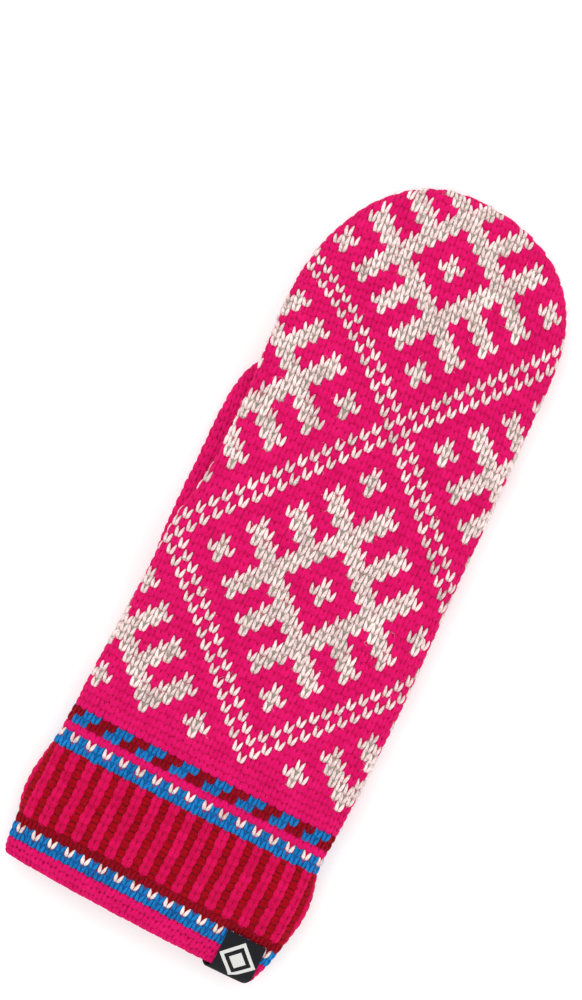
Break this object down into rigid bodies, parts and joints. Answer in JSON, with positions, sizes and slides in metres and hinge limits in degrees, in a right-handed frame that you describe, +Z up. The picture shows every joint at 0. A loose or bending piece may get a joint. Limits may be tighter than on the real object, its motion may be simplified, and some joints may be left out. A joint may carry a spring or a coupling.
{
  "type": "knitted wool mitten",
  "caption": "right-hand mitten of thick patterned knitting with a ribbed cuff, lying palm down with the thumb folded under the palm",
  "frame": {"origin": "on the surface that the mitten lies on, under the middle of its box", "axes": "+Z up out of the back of the hand, +Y from the cuff to the fingertips, +X towards the little finger's side"},
  "size_m": [0.1051, 0.2763, 0.0251],
  "materials": {
    "pink_and_white_knitting": "soft wool knitting, bright pink with natural white motifs, slightly fuzzy",
    "plain_pink_knitting": "soft plain wool knitting, bright pink",
    "border_knitting": "wool knitting in blue, dark red, pink and white rows",
    "rib_knitting": "wool rib, pink ridges with dark red valleys",
    "woven_label": "flat black woven tape with a plain woven edge"
  },
  "bodies": {
    "root": {"hand": "pink_and_white_knitting", "thumb": "plain_pink_knitting", "wrist_border": "border_knitting", "ribbed_cuff": "rib_knitting", "hem": "plain_pink_knitting", "label": "woven_label"}
  },
  "joints": []
}
